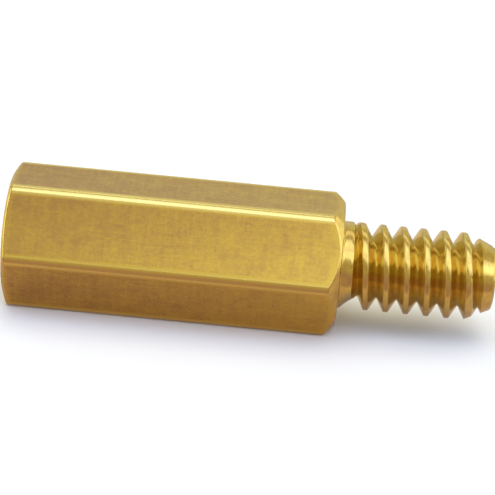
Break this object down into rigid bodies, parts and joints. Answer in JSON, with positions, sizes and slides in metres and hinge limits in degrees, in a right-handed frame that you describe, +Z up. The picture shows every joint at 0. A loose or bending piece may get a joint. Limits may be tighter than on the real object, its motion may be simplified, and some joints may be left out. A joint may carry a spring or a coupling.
{
  "type": "hex standoff",
  "caption": "Hexagonal brass standoff turned from drawn bar, with a threaded stud at one end and a blind tapped hole in the other.",
  "frame": {"origin": "on the axis, at the centre of the shoulder face that the stud stands out of", "axes": "+X along the axis and out of the stud's tip; +Z up, square to the flat that the part rests on"},
  "size_m": [0.019, 0.0056, 0.005],
  "materials": {
    "brass": "bare free-cutting brass, drawn on the flats and turned bright on the ends and stud"
  },
  "bodies": {
    "root": {"standoff": "brass"}
  },
  "joints": []
}
